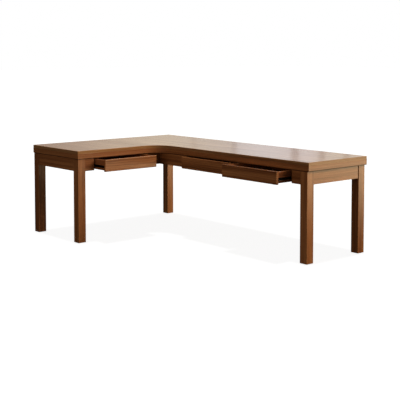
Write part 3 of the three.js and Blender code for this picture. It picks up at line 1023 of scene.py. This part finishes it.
def add_screws(name, heads, body, turned=False):
    """One piece of several screws. heads is a list of (centre, axis), in the drawer's own frame if turned."""
    surface = joined([screw_surface(centre, axis) for centre, axis in heads])
    add(name, surface, screw_steel, body, "black_steel", turned=turned)


# Where the screws go: along a slide from its front end, and up the drawer's back from the floor.
SLIDE_SCREWS = np.array([35, 131, 259, 451]) * MM
BACK_SCREWS = (656 * MM, 674 * MM)
# Where the log's heart lies from the middle of a drawer's front, of its sides and back, and of its bottom.
FRONT_PITH = (0.5, 0.25)
SIDE_PITH = (0.3, 0.2)
SHEET_PITH = (0.15, 0.6)


def add_drawer(name, body, turned):
    """All the pieces of a drawer and its slides, each from its node's box."""
    sheet_low, sheet_high = local_box(f"{name}_bottom", turned)
    groove = (sheet_low[2] - GROOVE_GAP, sheet_high[2] + GROOVE_GAP)

    def put(part, surface, material, slot, grain, pith, owner=body):
        """Adds one piece of the drawer in place of its node."""
        node = f"{name}_{part}"
        # The piece's painted light and shade, such as painted shade on the right drawer's outer side.
        pale = PAINTED_LIGHT_AND_SHADE.get(node, 0)
        add(f"{node}_made", surface, material, owner, slot, [node], grain, pith, turned=turned, pale=pale)

    box = local_box(f"{name}_front", turned)
    surface = front_surface(*box, sheet_low[1] - GROOVE_GAP, groove)
    put("front", surface, frame_wood, "frame_wood", "x", FRONT_PITH)
    box = local_box(f"{name}_side_left", turned)
    surface = side_surface(*box, sheet_low[0] - GROOVE_GAP, groove, True)
    put("side_left", surface, box_wood, "box_wood", "y", SIDE_PITH)
    box = local_box(f"{name}_side_right", turned)
    surface = side_surface(*box, sheet_high[0] + GROOVE_GAP, groove, False)
    put("side_right", surface, box_wood, "box_wood", "y", SIDE_PITH)
    low, high = local_box(f"{name}_back", turned)
    section = rectangle(low[1], high[1], low[2], high[2])
    corner = [0.5, 0.5, SIDE_TOP, SIDE_TOP]
    surface = board_surface(section, low[0], high[0], "x", ease=0.3, corner=corner)
    put("back", surface, box_wood, "box_wood", "x", SIDE_PITH)
    behind = (low[1] + high[1]) / 2
    ends = ((low[0], -1), (high[0], 1))
    heads = [((x, behind, z), (out, 0, 0)) for x, out in ends for z in BACK_SCREWS]
    add_screws(f"{name}_back_screws", heads, body, turned)
    surface = box_surface(sheet_low, sheet_high, ease=0.2)
    put("bottom", surface, sheet_wood, "plywood", "x", SHEET_PITH)
    for side, web_high in (("left", True), ("right", False)):
        low, high = local_box(f"{name}_slide_{side}", turned)
        surface = channel_surface(low, high, web_high)
        put(f"slide_{side}", surface, black_steel, "black_steel", "y", SIDE_PITH)
        face = high[0] - SHEET if web_high else low[0] + SHEET
        out = (-1, 0, 0) if web_high else (1, 0, 0)
        middle = (low[2] + high[2]) / 2
        heads = [((face, y, middle), out) for y in low[1] + SLIDE_SCREWS]
        add_screws(f"{name}_slide_screws_{side}", heads, body, turned)
        low, high = local_box(f"{name}_runner_{side}", turned)
        surface = channel_surface(low, high, not web_high)
        put(f"runner_{side}", surface, black_steel, "black_steel", "y", SIDE_PITH, "desk")


for name, body, turned in (
    ("drawer_left", "left_drawer", False), ("drawer_right", "right_drawer", False),
    ("drawer_return", "return_drawer", True),
):
    add_drawer(name, body, turned)

# ---- Fixings under the top ----


def bracket_surface(place, quarters):
    """An angle bracket with two screws. Its own frame has the apron's inner face at y = 0, the strip's
    underside at z = 0, and the room on the side of -y. It is turned left by quarter turns and moved to its
    place."""
    thick, reach, drop, half = 1.8 * MM, 26 * MM, 30 * MM, 15 * MM
    section = [
        (-thick, -drop), (0, -drop), (0, 0), (-reach, 0), (-reach, -thick), (-thick, -thick),
    ]
    plate = board_surface(section, -half, half, "x", ease=0.4, corner=[0.6, 0.6, 0.6, 0.6, 0.6, 1.2])
    side_screw = screw_surface((0, -thick, -0.6 * drop), (0, -1, 0))
    top_screw = screw_surface((0, -half, -thick), (0, 0, -1))
    points, faces, edge = joined([plate, side_screw, top_screw])
    for _ in range(quarters):
        points = quarter_turned(points)
    return points + np.array(place), faces, edge


# Where the brackets stand along each apron: in x along the back and the end, in y along the two sides.
BACK_BRACKETS = (-0.75, -0.1, 0.55, 1.0)
LEFT_BRACKETS = (-0.55, 0.0, 0.5)
END_BRACKET = -0.88
RIGHT_BRACKET = 0.42
BRACKET_GAP = 0.1 * MM
BLOCK_SCREW_INSET = 25 * MM
BLOCK_SCREW_STEP = 10 * MM


def add_fixings():
    """The brackets that hold the top to the aprons, and the screws through the block at the inner corner."""
    under = STRIP_LOW - BRACKET_GAP
    back = box_of("apron_back")[0][1] - BRACKET_GAP
    left = box_of("apron_left")[1][0] + BRACKET_GAP
    end = box_of("apron_end")[1][1] + BRACKET_GAP
    right = box_of("apron_right")[0][0] - BRACKET_GAP
    brackets = [bracket_surface((x, back, under), 0) for x in BACK_BRACKETS]
    brackets += [bracket_surface((left, y, under), 1) for y in LEFT_BRACKETS]
    brackets.append(bracket_surface((END_BRACKET, end, under), 2))
    brackets.append(bracket_surface((right, RIGHT_BRACKET, under), 3))
    add("top_brackets", joined(brackets), screw_steel, "desk", "black_steel")
    low, high = box_of("corner_block")
    middle = (low + high) / 2
    heads = []
    for z in (low[2] + BLOCK_SCREW_INSET, high[2] - BLOCK_SCREW_INSET):
        heads.append(((low[0], middle[1], z), (-1, 0, 0)))
        heads.append(((middle[0], low[1], z + BLOCK_SCREW_STEP), (0, -1, 0)))
    add_screws("corner_block_screws", heads, "desk")


add_fixings()

# ---- Glides ----


GLIDE_SIDES = 48


def glide_surface(low, high):
    """A moulded disc: a profile of radius and height turned about its own axis, round at the floor."""
    middle = (low + high) / 2
    radius, tall = (high[0] - low[0]) / 2, high[2] - low[2]
    share = np.array([0.05, 0.80, 0.90, 0.97, 1.0, 1.0, 0.985, 0.95, 0.05])
    rise = np.array([0.0, 0.0, 0.10, 0.32, 0.60, 0.85, 0.97, 1.0, 1.0])
    angle = np.linspace(0, 2 * np.pi, GLIDE_SIDES + 1)[:-1]
    r, a = np.meshgrid(share * radius, angle, indexing="ij")
    z = np.broadcast_to((low[2] + rise * tall)[:, None], r.shape)
    points = np.stack([middle[0] + r * np.cos(a), middle[1] + r * np.sin(a), z], axis=-1).reshape(-1, 3)
    return points, ring_faces(len(share), GLIDE_SIDES), np.zeros(len(points))


for place in LEG_PLACES:
    node = f"glide_{place}"
    add(f"{node}_disc", glide_surface(*box_of(node)), nylon, "desk", "nylon", [node])
